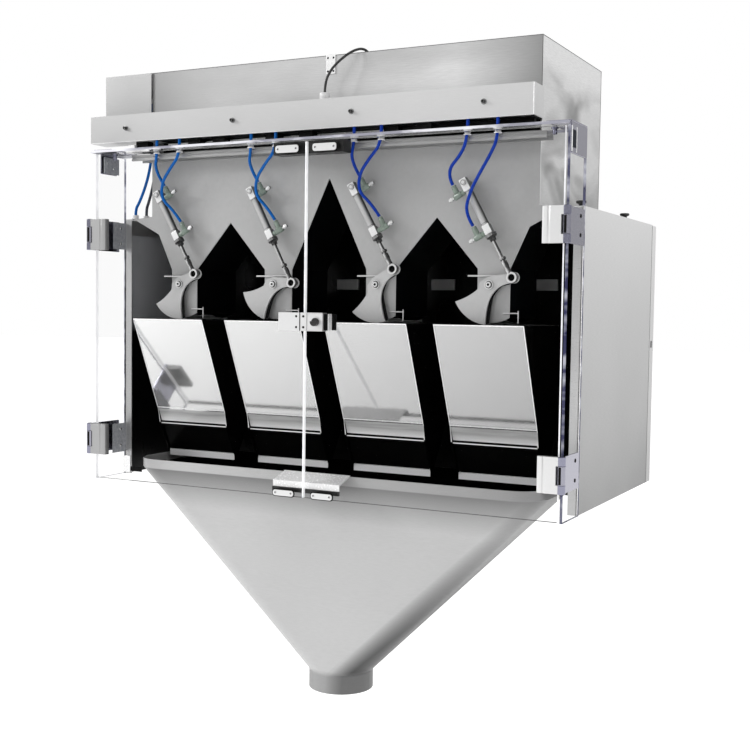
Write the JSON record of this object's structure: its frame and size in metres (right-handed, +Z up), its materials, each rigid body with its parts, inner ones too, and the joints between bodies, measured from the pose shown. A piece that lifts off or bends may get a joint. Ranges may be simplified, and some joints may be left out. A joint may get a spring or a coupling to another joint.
{
  "type": "linear weigher",
  "caption": "Multi-head linear weigher for a form fill seal machine: feeder box, air-driven gates, weigh buckets with flaps, clear hinged doors and a discharge funnel",
  "frame": {"origin": "centre of the rectangle of four bolt holes in the underside of the cabinet floor", "axes": "+X along the row of heads to the machine's right seen from the front, +Y to the rear, +Z up; the doors face -Y"},
  "size_m": [1.053, 0.6244, 1.2413],
  "materials": {
    "painted_steel": "light grey powder coat",
    "dark_steel": "near-black satin coat",
    "satin_steel": "satin stainless steel sheet",
    "grey_sheet": "matt bead-blasted stainless grey",
    "chrome": "bright plated steel",
    "aluminium": "clear anodised",
    "clear_sheet": "clear polished acrylic",
    "black_plastic": "black moulded plastic",
    "black_rubber": "dark cable sheath",
    "blue_hose": "blue polyurethane air hose"
  },
  "bodies": {
    "frame": {"cabinet": "painted_steel", "bay_liner": "dark_steel", "side_cover_right": "satin_steel", "side_cover_left": "satin_steel", "rear_cover": "painted_steel", "feeder_box": "satin_steel", "feeder_pans": "satin_steel", "end_housing": "satin_steel", "hose_duct": "satin_steel", "top_trim": "chrome", "header_rail": "aluminium", "top_glass": "clear_sheet", "side_glass": "clear_sheet", "corner_brackets": "chrome", "hinge_brackets": "chrome", "door_catches": "black_plastic", "sill_bracket": "satin_steel", "chute_plate": "grey_sheet", "chutes": "grey_sheet", "head_pins": "chrome", "funnel": "satin_steel", "glands": "black_plastic", "cable": "black_rubber", "bucket_1": "satin_steel", "bucket_2": "satin_steel", "bucket_3": "satin_steel", "bucket_4": "satin_steel", "hose_side": "blue_hose", "hose_side_dark": "black_rubber", "hose_1_rear": "blue_hose", "hose_1_front": "blue_hose", "hose_2_rear": "blue_hose", "hose_2_front": "blue_hose", "hose_3_rear": "blue_hose", "hose_3_front": "blue_hose", "hose_4_rear": "blue_hose", "hose_4_front": "blue_hose"},
    "door_left": {"door_left": "clear_sheet", "door_hardware_left": "chrome"},
    "door_right": {"door_right": "clear_sheet", "door_hardware_right": "chrome"},
    "lock": {"lock_knob": "black_plastic"},
    "knob_front": {"cover_knob_front": "black_plastic"},
    "knob_rear": {"cover_knob_rear": "black_plastic"},
    "gate_1": {"gate_1": "grey_sheet"},
    "cylinder_1": {"cylinder_1": "aluminium"},
    "rod_1": {"rod_1": "chrome"},
    "flap_1": {"flap_1": "satin_steel"},
    "gate_2": {"gate_2": "grey_sheet"},
    "cylinder_2": {"cylinder_2": "aluminium"},
    "rod_2": {"rod_2": "chrome"},
    "flap_2": {"flap_2": "satin_steel"},
    "gate_3": {"gate_3": "grey_sheet"},
    "cylinder_3": {"cylinder_3": "aluminium"},
    "rod_3": {"rod_3": "chrome"},
    "flap_3": {"flap_3": "satin_steel"},
    "gate_4": {"gate_4": "grey_sheet"},
    "cylinder_4": {"cylinder_4": "aluminium"},
    "rod_4": {"rod_4": "chrome"},
    "flap_4": {"flap_4": "satin_steel"}
  },
  "joints": [
    {"name": "door_left_hinge", "type": "hinge", "parent": "frame", "child": "door_left", "pos_m": [-0.504, -0.4485, 0.332], "axis": [0, 0, -1], "range_deg": [0, 110]},
    {"name": "door_right_hinge", "type": "hinge", "parent": "frame", "child": "door_right", "pos_m": [0.504, -0.4485, 0.332], "axis": [0, 0, 1], "range_deg": [0, 110]},
    {"name": "lock_turn", "type": "hinge", "parent": "door_right", "child": "lock", "pos_m": [0.034, -0.4575, 0.331], "axis": [0, 1, 0], "range_deg": [0, 90]},
    {"name": "knob_front_turn", "type": "hinge", "parent": "frame", "child": "knob_front", "pos_m": [0.49, -0.3305, 0.545], "axis": [0, 0, 1], "continuous": true},
    {"name": "knob_rear_turn", "type": "hinge", "parent": "frame", "child": "knob_rear", "pos_m": [0.49, -0.05186, 0.545], "axis": [0, 0, 1], "continuous": true},
    {"name": "gate_1_turn", "type": "hinge", "parent": "frame", "child": "gate_1", "pos_m": [-0.343, -0.2845, 0.402], "axis": [0, -1, 0], "range_deg": [-25, 25]},
    {"name": "cylinder_1_swing", "type": "hinge", "parent": "frame", "child": "cylinder_1", "pos_m": [-0.389, -0.3735, 0.5825], "axis": [0, -1, 0], "range_deg": [-0.362, 0.362]},
    {"name": "rod_1_slide", "type": "slide", "parent": "cylinder_1", "child": "rod_1", "axis": [0.4877, 0, -0.873], "range_m": [-0.02081, 0.02081]},
    {"name": "flap_1_swing", "type": "hinge", "parent": "frame", "child": "flap_1", "pos_m": [-0.351, -0.2985, 0.108], "axis": [-1, 0, 0], "range_deg": [0, 50]},
    {"name": "gate_2_turn", "type": "hinge", "parent": "frame", "child": "gate_2", "pos_m": [-0.117, -0.2845, 0.402], "axis": [0, -1, 0], "range_deg": [-3, 47]},
    {"name": "cylinder_2_swing", "type": "hinge", "parent": "frame", "child": "cylinder_2", "pos_m": [-0.163, -0.3735, 0.5825], "axis": [0, -1, 0], "range_deg": [-0.12, 1.2]},
    {"name": "rod_2_slide", "type": "slide", "parent": "cylinder_2", "child": "rod_2", "axis": [0.4667, 0, -0.8844], "range_m": [-0.0386, 0.00293]},
    {"name": "flap_2_swing", "type": "hinge", "parent": "frame", "child": "flap_2", "pos_m": [-0.125, -0.2985, 0.108], "axis": [-1, 0, 0], "range_deg": [0, 50]},
    {"name": "gate_3_turn", "type": "hinge", "parent": "frame", "child": "gate_3", "pos_m": [0.109, -0.2845, 0.402], "axis": [0, -1, 0], "range_deg": [-36, 14]},
    {"name": "cylinder_3_swing", "type": "hinge", "parent": "frame", "child": "cylinder_3", "pos_m": [0.063, -0.3735, 0.5825], "axis": [0, -1, 0], "range_deg": [-0.5, 0.225]},
    {"name": "rod_3_slide", "type": "slide", "parent": "cylinder_3", "child": "rod_3", "axis": [0.4866, 0, -0.8736], "range_m": [-0.01196, 0.02997]},
    {"name": "flap_3_swing", "type": "hinge", "parent": "frame", "child": "flap_3", "pos_m": [0.101, -0.2985, 0.108], "axis": [-1, 0, 0], "range_deg": [0, 50]},
    {"name": "gate_4_turn", "type": "hinge", "parent": "frame", "child": "gate_4", "pos_m": [0.335, -0.2845, 0.402], "axis": [0, -1, 0], "range_deg": [-15, 35]},
    {"name": "cylinder_4_swing", "type": "hinge", "parent": "frame", "child": "cylinder_4", "pos_m": [0.289, -0.3735, 0.5825], "axis": [0, -1, 0], "range_deg": [-0.238, 0.488]},
    {"name": "rod_4_slide", "type": "slide", "parent": "cylinder_4", "child": "rod_4", "axis": [0.4816, 0, -0.8764], "range_m": [-0.02897, 0.0127]},
    {"name": "flap_4_swing", "type": "hinge", "parent": "frame", "child": "flap_4", "pos_m": [0.327, -0.2985, 0.108], "axis": [-1, 0, 0], "range_deg": [0, 50]}
  ],
  "couplings": [
    {"joint": "cylinder_1_swing", "follows": "gate_1_turn", "ratio": 0.0125},
    {"joint": "rod_1_slide", "follows": "gate_1_turn", "m_per_rad": -0.04655},
    {"joint": "cylinder_2_swing", "follows": "gate_2_turn", "ratio": 0.0245},
    {"joint": "rod_2_slide", "follows": "gate_2_turn", "m_per_rad": -0.04645},
    {"joint": "cylinder_3_swing", "follows": "gate_3_turn", "ratio": 0.0125},
    {"joint": "rod_3_slide", "follows": "gate_3_turn", "m_per_rad": -0.0469},
    {"joint": "cylinder_4_swing", "follows": "gate_4_turn", "ratio": 0.0125},
    {"joint": "rod_4_slide", "follows": "gate_4_turn", "m_per_rad": -0.0466}
  ]
}
